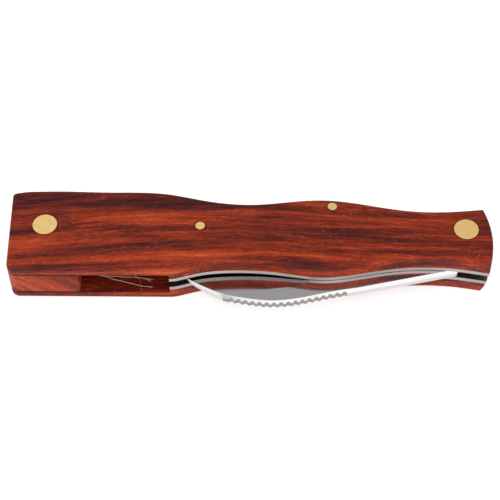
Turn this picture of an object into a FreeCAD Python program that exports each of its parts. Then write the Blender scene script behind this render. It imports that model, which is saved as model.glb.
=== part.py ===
"""Folding garden knife: a pivoted blade at the front, a fold-away brush at the rear.

The knife lies on its back scale. +X runs from the brush end to the blade's pivot, +Y points to the
back edge, +Z rises through the thickness. The origin is on the back scale's outer face, at mid length.
"""
import FreeCAD
import Part
import os
from math import acos, atan, atan2, cos, degrees, hypot, radians, sin, sqrt, tan

# ---------------------------------------------------------------- driving dimensions, millimetres

# Layers through the thickness
scale_thickness = 3.7
liner_thickness = 1.08
rear_wall = 2.3

# Blade, measured from its pivot while it is folded
blade_thickness = 2.0
blade_side_gap = 0.12
blade_reach = 71.6
tip_drop = 6.06
heel_reach = 36.2
heel_drop = 2.46
edge_thickness = 0.1
grind_width = 9.65
plunge_radius = 120.0
plunge_start = 8.2
spine_chamfer = 0.7
spine_slope = 11.63
spine_straight = 24.0
hump = [(0.436, 14.76), (0.571, 16.81), (0.672, 17.46), (0.772, 16.41), (0.839, 15.06), (0.89, 12.96),
        (0.934, 10.76), (0.969, 8.5)]
tang_radius = 3.6
shoulder_offset = 2.29
shoulder_drop = 9.05
shoulder_round = 0.5
kick_length = 6.5
ricasso_middle_reach = 22.0
ricasso_middle_rise = 1.0
choil_width = 1.8
choil_depth = 0.8
notch_count = 17
notch_pitch = 1.73
notch_lead = 4.0
notch_radius = 0.8
notch_depth = 0.34

# Handle, with heights measured from the datum line of the frame
pivot_inset = 6.37
pivot_height = 1.06
tip_gap = 0.9
rear_mouth = -8.75
step_mouth = -9.82
rear_back = 15.3
rear_back_drop = 0.7
rear_back_run = 5.2
mouth_wave = [(0.044, -9.2), (0.108, -8.0), (0.178, -7.57), (0.266, -7.78), (0.355, -8.73),
              (0.476, -10.1), (0.577, -9.3), (0.678, -8.02), (0.774, -7.58), (0.869, -8.06)]
back_wave = [(-0.19, 14.68), (-0.051, 14.27), (0.0, 13.71), (0.095, 11.87), (0.188, 10.46), (0.265, 10.07),
             (0.355, 10.58), (0.458, 11.14), (0.555, 10.43), (0.669, 8.48), (0.77, 7.12), (0.855, 6.82)]
wave_lead = 30.0
front_mouth = -9.72
front_back = 7.4
front_bulge = 1.43
front_crown_inset = 1.672
front_crown_rise = 2.9
front_trim = 2.0
rear_mouth_corner = 2.2
rear_back_corner = 1.0
edge_round = 0.8

# Back spring
spring_clearance = 0.04
nose_clearance = 0.05
spring_pin_margin = 1.4
spring_belly_inset = 4.4
anchor_length = 13.0
anchor_base = 1.0
anchor_round = 2.5

# Rivets and pins
rivet_head_radius = 3.0
rivet_head_depth = 2.0
rivet_tube_radius = 1.9
rivet_shank_radius = 1.2
running_gap = 0.04
pin_radius = 1.15
middle_pin_reach = 32.32
middle_pin_inset = 2.15
anchor_pin_inset = 7.6
anchor_pin_height = 3.46

# Brush
block_front = 8.8
block_rear = 8.63
brush_pivot_height = 4.61
block_side_gap = 0.15
block_end_gap = 0.35
block_edge_round = 0.25
block_corner_round = 0.8
bristle_length = 18.3
bristle_rows = 3
bristle_columns = 6
bristle_side_gap = 0.52
column_pitch = 2.2
column_offset = -1.4
tuft_radius = 0.75
tuft_flare = 0.18
tuft_hole_depth = 5.0
tuft_clearance = 0.02
anchor_wire = 0.5
swing_gap = 2.94

# Spacer along the back of the brush pocket
spacer_depth = 3.0

# ---------------------------------------------------------------- sizes worked out from them

slot_gap = blade_thickness + 2 * blade_side_gap
thickness = 2 * (scale_thickness + liner_thickness) + slot_gap
middle_z = thickness / 2
front_crown_height = middle_z + front_crown_rise
back_liner_z = scale_thickness
slot_low_z = scale_thickness + liner_thickness
slot_high_z = slot_low_z + slot_gap
front_liner_z = slot_high_z + liner_thickness
pocket_low_z = rear_wall
pocket_high_z = thickness - rear_wall

liner_length = tip_gap + blade_reach + pivot_inset
pocket_height = pocket_high_z - pocket_low_z
row_pitch = (pocket_height - 2 * (bristle_side_gap + tuft_radius + tuft_flare)) / (bristle_rows - 1)
tuft_reach = (bristle_columns - 1) * column_pitch / 2 + tuft_radius + tuft_flare
brush_top = column_offset + tuft_reach
brush_swing = hypot(block_front + bristle_length, brush_top)
pocket_length = brush_swing - block_front + swing_gap
block_length = block_front + block_rear
handle_length = block_length + pocket_length + liner_length

rear_x = -handle_length / 2
front_x = handle_length / 2
block_face_x = rear_x + block_length
step_x = front_x - liner_length
pivot_x = front_x - pivot_inset
brush_pivot_x = rear_x + block_rear
front_crown_radius = (front_crown_height ** 2 + front_crown_inset ** 2) / (2 * front_crown_inset)
front_corner_x = front_x - front_bulge
front_half_width = (front_back - front_mouth) / 2
front_plan_radius = (front_half_width ** 2 + front_bulge ** 2) / (2 * front_bulge)
step_back = dict(back_wave)[0.0]
block_swing = hypot(max(block_front, block_rear), rear_back - brush_pivot_height)
spacer_y = step_back - spacer_depth
spacer_x = brush_pivot_x + sqrt((block_swing + block_end_gap) ** 2 - (spacer_y - brush_pivot_height) ** 2)

PIVOT = FreeCAD.Vector(pivot_x, pivot_height, 0)
BRUSH_PIVOT = FreeCAD.Vector(brush_pivot_x, brush_pivot_height, 0)
UP = FreeCAD.Vector(0, 0, 1)
RIGHT = FreeCAD.Vector(1, 0, 0)


# ---------------------------------------------------------------- small helpers

def point(x, y, z=0.0):
    """A point, or a direction, from its coordinates."""
    return FreeCAD.Vector(x, y, z)


def line(a, b):
    """A straight edge."""
    return Part.LineSegment(a, b).toShape()


def arc(a, middle, b):
    """A round edge through three points."""
    return Part.Arc(a, middle, b).toShape()


def curve(points, start=None, finish=None):
    """A smooth edge through the points, with the given directions at its ends."""
    spline = Part.BSplineCurve()
    ends = {}
    if start and finish:
        ends = {"InitialTangent": start, "FinalTangent": finish}
    spline.interpolate(Points=points, **ends)
    return spline.toShape()


def slab(edges, z_low, z_high):
    """The closed outline drawn at z 0, raised between two heights."""
    face = Part.Face(Part.Wire(edges))
    face.translate(point(0, 0, z_low))
    return face.extrude(point(0, 0, z_high - z_low))


def rod(centre, radius, z_low, z_high):
    """A cylinder standing along the thickness."""
    return Part.makeCylinder(radius, z_high - z_low, point(centre.x, centre.y, z_low), UP)


def cuboid(x_low, x_high, y_low, y_high, z_low, z_high):
    """A block between two opposite corners."""
    size = point(x_high - x_low, y_high - y_low, z_high - z_low)
    return Part.makeBox(size.x, size.y, size.z, point(x_low, y_low, z_low))


def upright_edges(shape, places):
    """The edges along Z that pass through any of the places seen from above."""
    found = []
    for edge in shape.Edges:
        box = edge.BoundBox
        if box.ZLength < 0.01 or box.XLength > 0.01 or box.YLength > 0.01:
            continue
        if any(hypot(box.XMin - p.x, box.YMin - p.y) < 0.05 for p in places):
            found.append(edge)
    return found


def level_edges(shape, z):
    """The edges that lie at one height."""
    return [e for e in shape.Edges if abs(e.BoundBox.ZMin - z) < 1e-4 and abs(e.BoundBox.ZMax - z) < 1e-4]


# ---------------------------------------------------------------- handle outline

def wave_point(share, y):
    """A point of an edge wave, its place given along the liners."""
    return point(step_x + share * liner_length, y)


REAR_MOUTH = point(rear_x, rear_mouth)
REAR_BACK = point(rear_x, rear_back - rear_back_drop)
STEP_MOUTH = point(step_x, step_mouth)
WAVE_START = point(step_x - wave_lead, rear_back)
FRONT_MOUTH = point(front_corner_x, front_mouth)
FRONT_BACK = point(front_corner_x, front_back)
mouth_run_out = point(1, -0.2)
back_run_out = point(1, 0.08)
mouth_edge = curve([STEP_MOUTH] + [wave_point(*w) for w in mouth_wave] + [FRONT_MOUTH],
                   STEP_MOUTH - REAR_MOUTH, mouth_run_out * liner_length)
back_edge = curve([WAVE_START] + [wave_point(*w) for w in back_wave] + [FRONT_BACK],
                  RIGHT * liner_length, back_run_out * liner_length)


def crown_tool():
    """What is sanded off the front end: the face that stays is round in plan and through the thickness."""
    centre = point(front_x - front_plan_radius, (front_mouth + front_back) / 2)
    low, high = -front_trim, thickness + front_trim
    rim_inset = [front_crown_radius - sqrt(front_crown_radius ** 2 - (z - front_crown_height) ** 2)
                 for z in (low, high)]
    rim_low = point(front_x - rim_inset[0], centre.y, low)
    rim_high = point(front_x - rim_inset[1], centre.y, high)
    axis_low = point(centre.x, centre.y, low)
    axis_high = point(centre.x, centre.y, high)
    profile = [line(axis_low, rim_low), arc(rim_low, point(front_x, centre.y, front_crown_height), rim_high),
               line(rim_high, axis_high), line(axis_high, axis_low)]
    barrel = Part.Face(Part.Wire(profile)).revolve(centre, UP, 360)
    barrel.rotate(centre, UP, 180)
    return cuboid(front_corner_x - front_trim, front_x + 3 * front_trim, -50, 50, low, high).cut(barrel)


CROWN = crown_tool()


def handle_slab(z_low, z_high):
    """The whole handle outline between two heights, with its rear corners rounded and its front crowned."""
    turn = point(rear_x + rear_back_run, rear_back)
    mouth_end = FRONT_MOUTH + mouth_run_out * (front_bulge + front_trim)
    back_end = FRONT_BACK + back_run_out * (front_bulge + front_trim)
    edges = [line(REAR_BACK, REAR_MOUTH), line(REAR_MOUTH, STEP_MOUTH), mouth_edge,
             line(FRONT_MOUTH, mouth_end), line(mouth_end, back_end), line(back_end, FRONT_BACK),
             back_edge, line(WAVE_START, turn),
             arc(turn, point(rear_x + rear_back_run / 2, rear_back - rear_back_drop / 4), REAR_BACK)]
    body = slab(edges, z_low, z_high)
    body = body.makeFillet(rear_mouth_corner, upright_edges(body, [REAR_MOUTH]))
    return body.makeFillet(rear_back_corner, upright_edges(body, [REAR_BACK])).cut(CROWN)


def edge_height(edge, x):
    """The height of the mouth or back edge at one place along the handle."""
    cut = line(point(x, -100), point(x, 100))
    return edge.distToShape(cut)[1][0][0].y


middle_pin_x = pivot_x - middle_pin_reach
MIDDLE_PIN = point(middle_pin_x, edge_height(back_edge, middle_pin_x) - middle_pin_inset)
ANCHOR_PIN = point(step_x + anchor_pin_inset, anchor_pin_height)


# ---------------------------------------------------------------- scales and liners


def scale(is_front):
    """A wooden scale: one thickness over its liner, another beside the brush."""
    z_low, z_high = (middle_z, thickness) if is_front else (0, middle_z)
    outer_z = thickness if is_front else 0
    head_z = thickness - rivet_head_depth if is_front else 0
    body = handle_slab(z_low, z_high)
    body = body.makeFillet(edge_round, level_edges(body, outer_z))
    body = body.cut(cuboid(rear_x - 5, step_x, -50, 50, pocket_low_z, pocket_high_z))
    body = body.cut(cuboid(step_x, front_x + 5, -50, 50, back_liner_z, front_liner_z))
    for pin in (MIDDLE_PIN, ANCHOR_PIN):
        body = body.cut(rod(pin, pin_radius, 0, thickness))
    for centre in (PIVOT, BRUSH_PIVOT):
        body = body.cut(rod(centre, rivet_tube_radius, 0, thickness))
        body = body.cut(rod(centre, rivet_head_radius, head_z, head_z + rivet_head_depth))
    return body


def liner(z_low):
    """A steel liner under one scale, from the brush pocket to the front end."""
    z_high = z_low + liner_thickness
    body = handle_slab(z_low, z_high).common(cuboid(step_x, front_x + 5, -50, 50, z_low, z_high))
    for centre, radius in ((PIVOT, rivet_tube_radius), (MIDDLE_PIN, pin_radius), (ANCHOR_PIN, pin_radius)):
        body = body.cut(rod(centre, radius, z_low, z_high))
    return body


def spacer():
    """The wooden strip that closes the back of the brush pocket."""
    low, high = pocket_low_z, pocket_high_z
    return handle_slab(low, high).common(cuboid(spacer_x, step_x, spacer_y, 50, low, high))


# ---------------------------------------------------------------- blade and its spring

TIP = PIVOT + point(-blade_reach, -tip_drop)
HEEL = PIVOT + point(-heel_reach, -heel_drop)
SHOULDER = PIVOT + point(-shoulder_offset, -shoulder_drop)
BEND = SHOULDER + point(-spine_straight, -spine_straight * tan(radians(spine_slope)))
KICK = PIVOT + point(-kick_length, tang_radius)
edge_direction = (TIP - HEEL).normalize()
spine_direction = (BEND - SHOULDER).normalize()
spine_points = [BEND] + [PIVOT + point(-share * blade_reach, -drop) for share, drop in hump] + [TIP]
spine_edge = curve(spine_points, spine_direction * blade_reach, point(-0.66, 0.75) * blade_reach)


def blade_plate():
    """The blade's outline in full-thickness steel, folded, with the hump's front arris chamfered."""
    z_low, z_high = middle_z - blade_thickness / 2, middle_z + blade_thickness / 2
    choil_end = HEEL + point(choil_width, 0)
    choil = arc(HEEL, HEEL + point(choil_width / 2, -choil_depth), choil_end)
    ricasso_middle = PIVOT + point(-ricasso_middle_reach, ricasso_middle_rise)
    ricasso = curve([choil_end, ricasso_middle, KICK], edge_direction * -heel_reach, RIGHT * heel_reach)
    tang_top = PIVOT + point(0, tang_radius)
    tang_low = PIVOT + point(-shoulder_offset, -sqrt(tang_radius ** 2 - shoulder_offset ** 2))
    tang = arc(tang_top, PIVOT + point(tang_radius, 0), tang_low)
    body = slab([line(SHOULDER, BEND), spine_edge, line(TIP, HEEL), choil, ricasso, line(KICK, tang_top),
                 tang, line(tang_low, SHOULDER)], z_low, z_high)
    hump_edges = [edge for edge in level_edges(body, z_high)
                  if edge.BoundBox.YMin < SHOULDER.y - notch_pitch and edge.BoundBox.XMax < BEND.x + 0.1]
    body = body.makeChamfer(spine_chamfer, hump_edges)
    return body.makeFillet(shoulder_round, upright_edges(body, [SHOULDER]))


def grind_tool():
    """What a grinding wheel removes from the front face: a flat bevel that runs out in a wheel's arc."""
    reach = (TIP - HEEL).Length + 8
    climb = blade_thickness
    swing = acos(1 - climb / plunge_radius)
    floor_end = point(plunge_start, 0, 0)
    half_way = point(plunge_start - plunge_radius * sin(swing / 2), 0, plunge_radius * (1 - cos(swing / 2)))
    rim = point(plunge_start - plunge_radius * sin(swing), 0, climb)
    top_z = 3 * blade_thickness
    outline = [line(point(reach, 0, 0), floor_end), arc(floor_end, half_way, rim),
               line(rim, point(rim.x, 0, top_z)), line(point(rim.x, 0, top_z), point(reach, 0, top_z)),
               line(point(reach, 0, top_z), point(reach, 0, 0))]
    tool = Part.Face(Part.Wire(outline)).extrude(point(0, 3 * grind_width, 0))
    tool.translate(point(0, -grind_width / 2, 0))
    bevel = degrees(atan((blade_thickness - edge_thickness) / 2 / grind_width))
    tool.rotate(point(0, 0, 0), RIGHT, bevel)
    tool.rotate(point(0, 0, 0), UP, degrees(atan2(edge_direction.y, edge_direction.x)))
    tool.translate(HEEL + point(0, 0, middle_z + edge_thickness / 2))
    return tool


def blade():
    """The blade: ground on both sides, bored for its rivet, with grip notches across the spine."""
    tool = grind_tool()
    body = blade_plate().cut(tool).cut(tool.mirror(point(0, 0, middle_z), UP))
    body = body.cut(rod(PIVOT, rivet_tube_radius + running_gap, 0, thickness))
    for i in range(notch_count):
        at = spine_edge.getParameterByLength(notch_lead + i * notch_pitch)
        outward = spine_edge.tangentAt(at).cross(UP)
        outward = outward if outward.y < 0 else outward * -1
        centre = spine_edge.valueAt(at) + outward * (notch_radius - notch_depth)
        body = body.cut(rod(centre, notch_radius, 0, thickness))
    return body


def back_spring():
    """The spring that bears on the tang, with a deep rear end that the anchor pin holds."""
    nose_x = pivot_x + shoulder_offset - nose_clearance
    spring_y = pivot_height + tang_radius + spring_clearance
    anchor_x = step_x + anchor_length
    belly_y = edge_height(back_edge, anchor_x) - spring_belly_inset
    below_pin = MIDDLE_PIN - point(0, pin_radius + spring_pin_margin)
    nose = point(nose_x, spring_y)
    bearing_end = point(KICK.x, spring_y)
    neck = point(anchor_x + anchor_round, belly_y)
    bow = anchor_round * (1 - sqrt(0.5))
    outline = [line(nose, bearing_end),
               curve([bearing_end, below_pin, neck], RIGHT * -liner_length, RIGHT * -liner_length),
               arc(neck, point(anchor_x + bow, belly_y - bow), point(anchor_x, belly_y - anchor_round)),
               line(point(anchor_x, belly_y - anchor_round), point(anchor_x, anchor_base)),
               line(point(anchor_x, anchor_base), point(step_x, anchor_base)),
               line(point(step_x, anchor_base), point(step_x, 50)),
               line(point(step_x, 50), point(nose_x, 50)), line(point(nose_x, 50), nose)]
    body = handle_slab(slot_low_z, slot_high_z).common(slab(outline, slot_low_z, slot_high_z))
    for pin in (MIDDLE_PIN, ANCHOR_PIN):
        body = body.cut(rod(pin, pin_radius, 0, thickness))
    return body


# ---------------------------------------------------------------- rivets

def rivet_tube(centre):
    """The front half of a rivet: a flush head on a tube that is the bearing."""
    head_low = thickness - rivet_head_depth
    body = rod(centre, rivet_head_radius, head_low, thickness)
    body = body.fuse(rod(centre, rivet_tube_radius, rivet_head_depth, head_low))
    return body.cut(rod(centre, rivet_shank_radius, 0, head_low - rivet_head_depth / 2))


def rivet_shank(centre):
    """The back half of a rivet: a flush head on a shank that is pressed into the tube."""
    shank_end = thickness - 2 * rivet_head_depth
    body = rod(centre, rivet_head_radius, 0, rivet_head_depth)
    return body.fuse(rod(centre, rivet_shank_radius, rivet_head_depth, shank_end))


# ---------------------------------------------------------------- brush

def tuft_places():
    """The centre of every tuft on the block's end face."""
    for row in range(bristle_rows):
        for column in range(bristle_columns):
            y = brush_pivot_height + column_offset + (column - (bristle_columns - 1) / 2) * column_pitch
            yield y, middle_z + (row - (bristle_rows - 1) / 2) * row_pitch


def along(x, y, z, radius, length):
    """A cylinder that runs forward from a point."""
    return Part.makeCylinder(radius, length, point(x, y, z), RIGHT)


def brush_block():
    """The wooden block that carries the tufts, flush with the handle's end and edges."""
    low, high = pocket_low_z + block_side_gap, pocket_high_z - block_side_gap
    body = handle_slab(low, high).common(cuboid(rear_x - 5, block_face_x, -50, 50, low, high))
    corner = point(block_face_x, edge_height(line(REAR_MOUTH, STEP_MOUTH), block_face_x))
    body = body.makeFillet(block_corner_round, upright_edges(body, [corner]))
    body = body.makeFillet(block_edge_round, level_edges(body, low) + level_edges(body, high))
    body = body.cut(rod(BRUSH_PIVOT, rivet_tube_radius + running_gap, low, high))
    for y, z in tuft_places():
        hole_x = block_face_x - tuft_hole_depth
        body = body.cut(along(hole_x, y, z, tuft_radius + tuft_clearance, tuft_hole_depth + 1))
    return body


def bristle_tufts():
    """All the bristles as one plain mass, with a root in every hole of the block."""
    reach_z = (bristle_rows - 1) * row_pitch / 2 + tuft_radius + tuft_flare
    middle_y = brush_pivot_height + column_offset
    body = cuboid(block_face_x + block_end_gap, block_face_x + bristle_length, middle_y - tuft_reach,
                  middle_y + tuft_reach, middle_z - reach_z, middle_z + reach_z)
    for y, z in tuft_places():
        root_x = block_face_x - tuft_hole_depth + anchor_wire
        body = body.fuse(along(root_x, y, z, tuft_radius, tuft_hole_depth))
    return body


def tuft_anchors():
    """The wire staples at the bottom of the holes, which hold the folded tufts."""
    wires = []
    for y, z in tuft_places():
        centre_x = block_face_x - tuft_hole_depth + anchor_wire / 2
        start = point(centre_x, y, z - tuft_radius * 0.8)
        wires.append(Part.makeCylinder(anchor_wire / 2, tuft_radius * 1.6, start, UP))
    return Part.makeCompound(wires)


# ---------------------------------------------------------------- every piece in its own file

PIECES = {
    "front_scale": scale(True),
    "back_scale": scale(False),
    "front_liner": liner(slot_high_z),
    "back_liner": liner(back_liner_z),
    "pocket_spacer": spacer(),
    "blade": blade(),
    "back_spring": back_spring(),
    "blade_rivet_tube": rivet_tube(PIVOT),
    "blade_rivet_shank": rivet_shank(PIVOT),
    "brush_rivet_tube": rivet_tube(BRUSH_PIVOT),
    "brush_rivet_shank": rivet_shank(BRUSH_PIVOT),
    "spring_middle_pin": rod(MIDDLE_PIN, pin_radius, 0, thickness),
    "spring_anchor_pin": rod(ANCHOR_PIN, pin_radius, 0, thickness),
    "brush_block": brush_block(),
    "bristle_tufts": bristle_tufts(),
    "tuft_anchors": tuft_anchors(),
}

os.makedirs("parts", exist_ok=True)
for name, piece in PIECES.items():
    piece.exportStep("parts/" + name + ".step")
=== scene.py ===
import math
import random

import bmesh
import bpy
from mathutils import Matrix, Vector


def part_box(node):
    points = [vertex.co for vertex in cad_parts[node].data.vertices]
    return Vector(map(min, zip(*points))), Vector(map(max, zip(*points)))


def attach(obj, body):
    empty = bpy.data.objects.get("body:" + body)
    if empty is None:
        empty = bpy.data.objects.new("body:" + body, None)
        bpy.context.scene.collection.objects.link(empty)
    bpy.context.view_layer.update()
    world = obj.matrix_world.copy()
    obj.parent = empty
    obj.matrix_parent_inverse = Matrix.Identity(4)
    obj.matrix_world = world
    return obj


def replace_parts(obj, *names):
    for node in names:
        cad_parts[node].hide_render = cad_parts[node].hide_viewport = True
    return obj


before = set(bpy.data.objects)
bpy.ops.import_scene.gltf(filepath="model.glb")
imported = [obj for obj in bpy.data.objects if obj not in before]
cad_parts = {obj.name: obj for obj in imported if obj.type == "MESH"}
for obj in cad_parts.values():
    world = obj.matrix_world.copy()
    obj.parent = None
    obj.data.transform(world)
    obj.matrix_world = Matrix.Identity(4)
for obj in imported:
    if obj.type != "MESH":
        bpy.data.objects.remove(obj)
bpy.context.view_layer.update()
MM = 0.001

# The studio: a lit white table, soft boxes overhead, in front and at the brush end, and an even grey room.
# The camera looks down on the closed knife across its mouth, with the pivot end on the right.
STUDIO = bpy.context.scene
STUDIO.view_settings.view_transform = "Standard"
look_elevation = math.radians(53.6)
look_roll = math.radians(0.9)
look_distance = 370 * MM
look_at = Vector((-0.18, 0.10, 5.97)) * MM
camera_data = bpy.data.cameras.new("studio_camera")
camera_data.sensor_width = 36.0
camera_data.lens = 108.1
camera_data.clip_start = 0.01
camera = bpy.data.objects.new("studio_camera", camera_data)
STUDIO.collection.objects.link(camera)
look_back = Vector((0, -math.cos(look_elevation), math.sin(look_elevation)))
camera.location = look_at + look_back * look_distance
camera.rotation_mode = "QUATERNION"
level_view = (-look_back).to_track_quat("-Z", "Y")
camera.rotation_quaternion = level_view @ Matrix.Rotation(-look_roll, 4, "Z").to_quaternion()
STUDIO.camera = camera


def soft_box(name, place, width, depth, radiance):
    """A soft box aimed at the knife, whose face has the given radiance."""
    data = bpy.data.lights.new(name, "AREA")
    data.shape = "RECTANGLE"
    data.size = width
    data.size_y = depth
    data.energy = radiance * math.pi * width * depth
    lamp = bpy.data.objects.new(name, data)
    lamp.location = place
    lamp.rotation_mode = "QUATERNION"
    lamp.rotation_quaternion = (-Vector(place)).to_track_quat("-Z", "Y")
    STUDIO.collection.objects.link(lamp)


soft_box("overhead_soft_box", (-0.10, -0.11, 0.95), 1.4, 0.7, 1.75)
soft_box("front_soft_box", (0.1, -0.98, 0.49), 1.5, 0.44, 1.15)
soft_box("brush_end_soft_box", (-0.95, -0.46, 0.46), 1.5, 0.44, 0.9)


def linear(code):
    """The linear colour of an sRGB hex code."""
    parts = [int(code[i:i + 2], 16) / 255 for i in (0, 2, 4)]
    return [p / 12.92 if p <= 0.04045 else ((p + 0.055) / 1.055) ** 2.4 for p in parts] + [1.0]


def add(tree, kind, inputs=(), **settings):
    """Adds a node. Inputs are listed in order or named; each is a value, a socket or a node to link from."""
    node = tree.nodes.new("ShaderNode" + kind)
    for key, value in settings.items():
        setattr(node, key, value)
    for key, value in inputs.items() if isinstance(inputs, dict) else enumerate(inputs):
        if isinstance(value, bpy.types.Node):
            value = value.outputs[0]
        if isinstance(value, bpy.types.NodeSocket):
            tree.links.new(value, node.inputs[key])
        else:
            node.inputs[key].default_value = value
    return node


def new_material(name):
    """A material with nothing in its node tree yet."""
    material = bpy.data.materials.new(name)
    material.use_nodes = True
    material.node_tree.nodes.clear()
    return material, material.node_tree


room = bpy.data.worlds.new("studio_room")
room.use_nodes = True
room.node_tree.nodes["Background"].inputs["Color"].default_value = (0.50, 0.50, 0.51, 1)
STUDIO.world = room

# The table: a sheet of opal acrylic, lit from below, that lies just under the knife.
# It is matt, and so bright that only a trace of a shadow stays on it.
table_half_width = 3.0
table_gap = 0.02 * MM
acrylic, acrylic_tree = new_material("lit_white_acrylic")
acrylic_surface = add(acrylic_tree, "BsdfPrincipled", {
    "Base Color": linear("C8C8C8"), "Roughness": 0.9,
    "Emission Color": linear("FFFFFF"), "Emission Strength": 0.66})
add(acrylic_tree, "OutputMaterial", {"Surface": acrylic_surface})
table_mesh = bmesh.new()
bmesh.ops.create_grid(table_mesh, x_segments=1, y_segments=1, size=table_half_width)
bmesh.ops.translate(table_mesh, verts=table_mesh.verts, vec=(0, 0, -table_gap))
table_data = bpy.data.meshes.new("studio_table")
table_mesh.to_mesh(table_data)
table_mesh.free()
table_data.materials.append(acrylic)
studio_table = bpy.data.objects.new("studio_table", table_data)
STUDIO.collection.objects.link(studio_table)

# The scales and the strip behind the brush: red rosewood, sawn along the grain, sanded and wiped with oil.
# The oil leaves a satin skin; bands of dark heartwood, fine fibres and open pores run the length of it.
# Around each brass head a thin burnt line stays where the head was sanded flush.
rivet_head_radius = 3.0
pin_head_radius = 1.15
brass_heads = [
    ("blade_rivet_tube", rivet_head_radius), ("brush_rivet_tube", rivet_head_radius),
    ("spring_middle_pin", pin_head_radius), ("spring_anchor_pin", pin_head_radius)]
# the wood's figure is measured in millimetres
grain_arc_length = 165
grain_arc_start = 0.55
grain_arc_height = 2.3
grain_waver = 2.2
heart_edge = 8.5
heart_slope = 0.03
pore_size = (1.5, 0.3, 0.3)
speck_size = (1.3, 1.3, 1.3)
burnt_core, burnt_edge = 0.08, 0.42
# how wide the painted shade along a seam is
seam_shade_core, seam_shade_edge = 0.22 * MM, 0.38 * MM
wood_tones = [
    (0.12, "300D13"), (0.30, "561810"), (0.46, "7E2610"),
    (0.60, "9C3414"), (0.76, "B8451C"), (0.95, "D06030")]


def streaks(tree, place, along, across, through, detail, rough=0.55):
    """A soft pattern whose marks are about so many millimetres along, across and through the piece."""
    stretched = add(tree, "Mapping", {"Vector": place, "Scale": (1 / along, 1 / across, 1 / through)})
    return add(tree, "TexNoise", {"Vector": stretched, "Scale": 1.0, "Detail": detail, "Roughness": rough})


def flecks(tree, place, size, reach, rarity, channel):
    """Flecks in some of the cells of a size in millimetres: reach is how big, rarity how few, 0 to 1."""
    cells = add(tree, "Mapping", {"Vector": place, "Scale": [1 / side for side in size]})
    middles = add(tree, "TexVoronoi", {"Vector": cells, "Scale": 1.0})
    lot = add(tree, "SeparateColor", [middles.outputs["Color"]]).outputs[channel]
    near = add(tree, "Math", [middles, reach], operation="LESS_THAN")
    drawn = add(tree, "Math", [lot, rarity], operation="GREATER_THAN")
    return add(tree, "Math", [near, drawn], operation="MULTIPLY")


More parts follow.
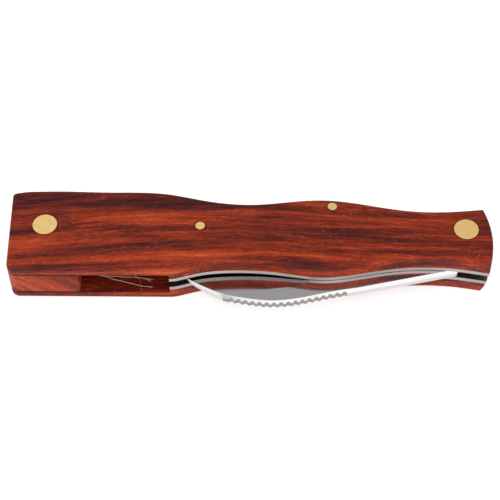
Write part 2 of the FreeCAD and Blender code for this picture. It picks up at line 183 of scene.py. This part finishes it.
def rosewood(name, turn, plank, lift, heads, seams=()):
    """Oiled rosewood. turn sets the grain's direction about Y, plank picks the board, lift brightens it."""
    material, tree = new_material(name)
    place = add(tree, "TexCoord").outputs["Object"]
    in_mm = add(tree, "Mapping", {"Vector": place, "Rotation": (0, turn, 0), "Scale": (1000, 1000, 1000)})
    board = add(tree, "Mapping", {"Vector": in_mm, "Location": plank})
    length, width, depth = add(tree, "SeparateXYZ", [board]).outputs
    # the grain rises towards mid length and falls again, and wavers a little on the way
    turns = 2 * math.pi / grain_arc_length
    phase = add(tree, "Math", [length, turns, grain_arc_start], operation="MULTIPLY_ADD")
    swing = add(tree, "Math", [phase], operation="COSINE")
    arc = add(tree, "Math", [swing, -grain_arc_height, width], operation="MULTIPLY_ADD")
    drift = add(tree, "Math", [streaks(tree, board, 24, 5, 5, 3), 0.5], operation="SUBTRACT")
    across = add(tree, "Math", [drift, grain_waver, arc], operation="MULTIPLY_ADD")
    grain = add(tree, "CombineXYZ", [length, across, depth])
    bands = streaks(tree, grain, 40, 2.9, 2.9, 3)
    veins = streaks(tree, grain, 9, 0.5, 0.6, 4, 0.65)
    # real fibres and pores are several times finer, and are drawn this coarse so that they show
    fibres = streaks(tree, grain, 1.7, 0.16, 0.16, 3, 0.7)
    tone = 0.455 + lift
    for figure, strength in ((bands, 1.25), (veins, 0.8), (fibres, 0.85)):
        centred = add(tree, "Math", [figure, 0.5], operation="SUBTRACT")
        tone = add(tree, "Math", [centred, strength, tone], operation="MULTIPLY_ADD")
    # the board darkens towards the heart, which was near the back edge of the rear end
    from_pith = add(tree, "Math", [length, -heart_slope, width], operation="MULTIPLY_ADD")
    past_edge = add(tree, "Math", [from_pith, heart_edge], operation="SUBTRACT")
    heart = add(tree, "Math", [past_edge, 0.0], operation="MAXIMUM")
    tone = add(tree, "Math", [heart, -0.03, tone], operation="MULTIPLY_ADD", use_clamp=True)
    toned = add(tree, "ValToRGB", [tone])
    ramp = toned.color_ramp
    ramp.elements[0].position, ramp.elements[1].position = wood_tones[0][0], wood_tones[-1][0]
    for position, _ in wood_tones[1:-1]:
        ramp.elements.new(position)
    for element, (_, code) in zip(ramp.elements, wood_tones):
        element.color = linear(code)
    # dark gum lines follow the rings
    off_middle = add(tree, "Math", [streaks(tree, grain, 70, 1.7, 4, 1), 0.5], operation="SUBTRACT")
    off_ring = add(tree, "Math", [off_middle], operation="ABSOLUTE")
    line = add(tree, "MapRange", {"Value": off_ring, "From Max": 0.022, "To Min": 0.9, "To Max": 0.0})
    gum = add(tree, "Math", [line, veins], operation="MULTIPLY")
    colour = add(tree, "MixRGB", [gum, toned, linear("3A1218")])
    # open pores are short dark dashes along the grain, and a few pale mineral specks lie between them
    pore = flecks(tree, grain, pore_size, 0.26, 0.62, "Red")
    speck = flecks(tree, board, speck_size, 0.085, 0.72, "Green")
    pore_cover = add(tree, "Math", [pore, 0.5], operation="MULTIPLY")
    speck_cover = add(tree, "Math", [speck, 0.6], operation="MULTIPLY")
    colour = add(tree, "MixRGB", [pore_cover, colour, linear("3C1412")])
    colour = add(tree, "MixRGB", [speck_cover, colour, linear("E0A890")])
    for node_name, radius in heads:
        low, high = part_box(node_name)
        centre = (low + high) / 2
        offset = add(tree, "VectorMath", [place, (centre.x, centre.y, 0)], operation="SUBTRACT")
        flat = add(tree, "VectorMath", [offset, (1000, 1000, 0)], operation="MULTIPLY")
        reach = add(tree, "VectorMath", [flat], operation="LENGTH").outputs["Value"]
        burnt = add(tree, "MapRange", {
            "Value": reach, "From Min": radius + burnt_core, "From Max": radius + burnt_edge,
            "To Min": 0.78, "To Max": 0.0})
        colour = add(tree, "MixRGB", [burnt, colour, linear("2A0D08")])
    # painted shade: a dark line is painted along each seam in place of the shade in the narrow gap there
    for seam_z in seams:
        level = add(tree, "SeparateXYZ", [place]).outputs["Z"]
        above = add(tree, "Math", [level, seam_z], operation="SUBTRACT")
        off_seam = add(tree, "Math", [above], operation="ABSOLUTE")
        seam_shade = add(tree, "MapRange", {
            "Value": off_seam, "From Min": seam_shade_core, "From Max": seam_shade_edge, "To Min": 0.85, "To Max": 0.0})
        colour = add(tree, "MixRGB", [seam_shade, colour, linear("1E0806")])
    satin = add(tree, "Math", [fibres, 0.25, 0.36], operation="MULTIPLY_ADD")
    nap = add(tree, "Math", [fibres, 0.5], operation="MULTIPLY")
    height = add(tree, "Math", [nap, pore], operation="SUBTRACT")
    relief = add(tree, "Bump", {"Strength": 0.35, "Distance": 0.04 * MM, "Height": height})
    surface = add(tree, "BsdfPrincipled", {
        "Base Color": colour, "Roughness": satin, "Normal": relief, "IOR": 1.5, "Specular IOR Level": 0.16})
    add(tree, "OutputMaterial", {"Surface": surface})
    return material


def dress(material, *node_names):
    """Gives whole CAD nodes one material."""
    for node_name in node_names:
        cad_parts[node_name].material_slots[0].material = material


scale_wood = rosewood("oiled_rosewood", 0.0, (0, 0, 0), 0.0, brass_heads)
dress(scale_wood, "front_scale", "back_scale", "pocket_spacer")

# The brush block: cut from a brighter offcut of the same wood, so its grain runs aslant across the mouth.
# It is sanded flush with the scales at the rear end, and a dark line of painted shade runs along the seam
# beside the front scale.
block_low, block_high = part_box("brush_block")
block_wood = rosewood("oiled_rosewood_offcut", math.radians(-40), (30, 10, 7), 0.07, [], [block_high.z])
dress(block_wood, "brush_block")


# The liners and the back spring: stainless sheet and spring steel, ground flat, with the lines left on.
# Fine lines along the handle blur what they mirror into a soft satin.
def ground_steel(name, colours, line_width, roughness, notched=None):
    """Steel with lengthwise lines so many mm wide. In the notched stretch the upright walls are painted a
    darker grey, as painted shade.
    """
    material, tree = new_material(name)
    place = add(tree, "TexCoord").outputs["Object"]
    in_mm = add(tree, "Mapping", {"Vector": place, "Scale": (1000, 1000, 1000)})
    # real grinding lines are a few times finer, and are drawn this coarse so that they show
    lines = streaks(tree, in_mm, 60 * line_width, line_width, line_width, 3)
    worn = streaks(tree, in_mm, 9, 4, 4, 3)
    colour = add(tree, "MixRGB", [worn, linear(colours[0]), linear(colours[1])])
    if notched:
        # painted shade: the upright walls of the notches get a darker grey in place of the shade inside them
        first_x, last_x, inner_y = notched
        facing = add(tree, "SeparateXYZ", [add(tree, "TexCoord").outputs["Normal"]]).outputs["Z"]
        level = add(tree, "Math", [facing], operation="ABSOLUTE")
        notch_wall_shade = add(tree, "Math", [level, 0.3], operation="LESS_THAN")
        x, y, _ = add(tree, "SeparateXYZ", [place]).outputs
        limits = ((x, "GREATER_THAN", first_x), (x, "LESS_THAN", last_x), (y, "LESS_THAN", inner_y))
        for reading, side, limit in limits:
            inside = add(tree, "Math", [reading, limit], operation=side)
            notch_wall_shade = add(tree, "Math", [notch_wall_shade, inside], operation="MULTIPLY")
        colour = add(tree, "MixRGB", [notch_wall_shade, colour, linear("8F8B87")])
    satin = add(tree, "Math", [lines, 0.16, roughness], operation="MULTIPLY_ADD")
    relief = add(tree, "Bump", {"Strength": 0.25, "Distance": 0.006 * MM, "Height": lines})
    surface = add(tree, "BsdfPrincipled", {
        "Base Color": colour, "Metallic": 1.0, "Roughness": satin, "Normal": relief})
    add(tree, "OutputMaterial", {"Surface": surface})
    return material


dress(ground_steel("ground_stainless_sheet", ("B9B0AB", "9E9690"), 0.08, 0.20), "front_liner", "back_liner")
dress(ground_steel("ground_spring_steel", ("6E6B69", "575452"), 0.10, 0.30), "back_spring")

# The blade: stainless steel, ground flat on both sides and buffed to a mirror.
# Only very fine lengthwise buffing lines break the mirror; the walls of the grip notches, cut last, are
# painted a darker grey as painted shade.
blade_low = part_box("blade")[0]
notched_stretch = (blade_low.x + 12.0 * MM, blade_low.x + 42.0 * MM, blade_low.y + 6.0 * MM)
blade_steel = ground_steel("buffed_stainless_blade", ("D2D0D0", "C6C4C5"), 0.12, 0.035, notched_stretch)
dress(blade_steel, "blade")

# The rivets and pins: brass, driven in and sanded flush with the wood, so their faces are finely scratched.
# The satin face is pale gold, a little cloudy where fingers have touched it. The scratches are drawn a few
# times coarser than real ones, so that they show.
sanding_direction = 0.5
brass, brass_tree = new_material("sanded_brass")
brass_place = add(brass_tree, "TexCoord").outputs["Object"]
brass_in_mm = add(brass_tree, "Mapping", {
    "Vector": brass_place, "Rotation": (0, 0, sanding_direction), "Scale": (1000, 1000, 1000)})
scratches = streaks(brass_tree, brass_in_mm, 2.4, 0.09, 0.5, 4, 0.6)
clouds = streaks(brass_tree, brass_in_mm, 1.6, 1.3, 1.3, 3)
brass_surface = add(brass_tree, "BsdfPrincipled", {
    "Base Color": add(brass_tree, "MixRGB", [clouds, linear("FBDC98"), linear("EBC27C")]),
    "Metallic": 1.0,
    "Roughness": add(brass_tree, "Math", [scratches, 0.2, 0.45], operation="MULTIPLY_ADD"),
    "Normal": add(brass_tree, "Bump", {"Strength": 0.4, "Distance": 0.01 * MM, "Height": scratches})})
add(brass_tree, "OutputMaterial", {"Surface": brass_surface})
dress(brass, "blade_rivet_tube", "blade_rivet_shank", "brush_rivet_tube", "brush_rivet_shank",
      "spring_middle_pin", "spring_anchor_pin")

# The staples: short bright loops of tinned wire, one at the bottom of each hole in the block.
# Each folds a tuft in half and holds it there; the wire keeps the faint lines of its drawing.
dress(ground_steel("tinned_wire", ("C9C9C6", "B4B4B0"), 0.05, 0.25), "tuft_anchors")

# The bristles: natural pale bristle, folded into tufts by the staples and trimmed to nearly one length.
# Each hair tapers a little and leans and curls its own way, and the tufts fan out towards the end.
# Natural hair gives a soft sheen and a tone that drifts from straw to almost white along it.
bristle, bristle_tree = new_material("natural_pale_bristle")
bristle_place = add(bristle_tree, "TexCoord").outputs["Object"]
bristle_in_mm = add(bristle_tree, "Mapping", {"Vector": bristle_place, "Scale": (1000, 1000, 1000)})
hair_tone = streaks(bristle_tree, bristle_in_mm, 9, 0.28, 0.28, 2)
bristle_surface = add(bristle_tree, "BsdfPrincipled", {
    "Base Color": add(bristle_tree, "MixRGB", [hair_tone, linear("CDA47C"), linear("FBEADA")]),
    "Roughness": 0.42})
add(bristle_tree, "OutputMaterial", {"Surface": bristle_surface})
hair_sides = 5
hair_radius = 0.09 * MM
hair_tip_share = 0.6
shortest_hair = 0.955
hairs_in_tuft = 26
tuft_rows = 3
tuft_columns = 6
tuft_radius = 0.66 * MM
tuft_fan = 1.3
root_squeeze = 0.9
golden_angle = 2.39996
hole_depth = 4.0 * MM
staple_radius = 0.25 * MM
staple_half = 0.6 * MM


def hair(mesh, points, radius):
    """A round hair through the points: a ring of edges extruded from each point to the next."""
    heading = (points[1] - points[0]).normalized()
    facing = heading.to_track_quat("Z", "Y").to_matrix().to_4x4()
    ring = bmesh.ops.create_circle(mesh, segments=hair_sides, radius=radius, cap_ends=True,
                                   matrix=Matrix.Translation(points[0]) @ facing)["verts"]
    edges = list({edge for vert in ring for edge in vert.link_edges})
    shrink = hair_tip_share ** (1 / (len(points) - 1))
    for here, there in zip(points, points[1:]):
        grown = bmesh.ops.extrude_edge_only(mesh, edges=edges)["geom"]
        ring = [item for item in grown if isinstance(item, bmesh.types.BMVert)]
        edges = [item for item in grown if isinstance(item, bmesh.types.BMEdge)
                 and all(vert in ring for vert in item.verts)]
        bmesh.ops.scale(mesh, verts=ring, vec=(shrink,) * 3, space=Matrix.Translation(-here))
        bmesh.ops.translate(mesh, verts=ring, vec=there - here)
    bmesh.ops.contextual_create(mesh, geom=edges)


def bristle_piece(mesh, name):
    """Turns a finished bmesh into a smooth piece of bristle that rides on the brush."""
    bmesh.ops.recalc_face_normals(mesh, faces=mesh.faces)
    data = bpy.data.meshes.new(name)
    mesh.to_mesh(data)
    mesh.free()
    data.shade_smooth()
    data.materials.append(bristle)
    piece = bpy.data.objects.new(name, data)
    STUDIO.collection.objects.link(piece)
    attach(piece, "brush")
    return piece


staple_low, staple_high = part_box("tuft_anchors")
block_face_x = block_high.x
hair_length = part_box("bristle_tufts")[1].x - block_face_x
column_step = (staple_high.y - staple_low.y - 2 * staple_radius) / (tuft_columns - 1)
row_step = (staple_high.z - staple_low.z - 2 * staple_half) / (tuft_rows - 1)
chance = random.Random(7)
tufts = bmesh.new()
for row in range(tuft_rows):
    for column in range(tuft_columns):
        centre_y = staple_low.y + staple_radius + column * column_step
        centre_z = staple_low.z + staple_half + row * row_step
        tuft = bmesh.new()
        tuft_lean = Vector((0, chance.uniform(-0.03, 0.03), chance.uniform(-0.02, 0.02)))
        for number in range(hairs_in_tuft):
            # sunflower spacing fills the round hole evenly
            ring_share = math.sqrt((number + 0.5) / hairs_in_tuft)
            angle = number * golden_angle
            offset = Vector((0, math.cos(angle), math.sin(angle))) * ring_share * tuft_radius
            root = Vector((block_face_x - hole_depth, centre_y, centre_z)) + offset * root_squeeze
            neck = Vector((block_face_x, centre_y, centre_z)) + offset
            lean = tuft_lean + offset * (tuft_fan - 1) / hair_length
            lean += Vector((0, chance.gauss(0, 0.012), chance.gauss(0, 0.010)))
            curl = Vector((0, chance.gauss(0, 0.35), chance.gauss(0, 0.3))) * MM
            length = hair_length * chance.uniform(shortest_hair, 1.0)
            points = [root, neck]
            for share in (0.3, 0.55, 0.78, 1.0):
                bend = curl * math.sin(share * math.pi) + lean * length * share
                points.append(neck + Vector((length * share, 0, 0)) + bend)
            hair(tuft, points, hair_radius)
        # a tuft grows in a mesh of its own, which is quicker, and then joins the others
        tuft_data = bpy.data.meshes.new("one_tuft")
        tuft.to_mesh(tuft_data)
        tuft.free()
        tufts.from_mesh(tuft_data)
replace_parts(bristle_piece(tufts, "brush_bristles"), "bristle_tufts")

# The loose hairs: three bristles that have sprung out of the tufts and lie across the pocket's mouth.
# One of them has split at the tip. Places are in millimetres from the block's face and the pocket's lip.
lip_y = block_low.y + 2.454 * MM
stray_radius = 0.085 * MM
stray_routes = [
    [(0.0, 3.9, 4.1), (4.6, 1.15, 4.1), (10.0, 0.75, 4.0),
     (14.4, 0.50, 3.9), (16.0, 0.10, 3.8), (16.9, -0.5, 3.6)],
    [(15.2, 0.36, 3.85), (16.6, -0.15, 4.1), (17.5, -0.4, 4.3)],
    [(0.0, 3.9, 4.6), (4.6, 1.2, 4.5), (8.2, -0.1, 4.1),
     (12.0, -0.9, 3.6), (14.6, -1.5, 3.2), (17.4, -1.8, 3.0)],
    [(0.0, 3.8, 3.9), (7.0, 2.9, 3.8), (12.4, 1.9, 3.8),
     (14.2, 0.3, 3.6), (14.6, -1.3, 3.2), (14.9, -2.7, 2.7)]]
strays = bmesh.new()
for route in stray_routes:
    hair(strays, [Vector((block_face_x, lip_y, 0)) + Vector(point) * MM for point in route], stray_radius)
bristle_piece(strays, "stray_bristles")
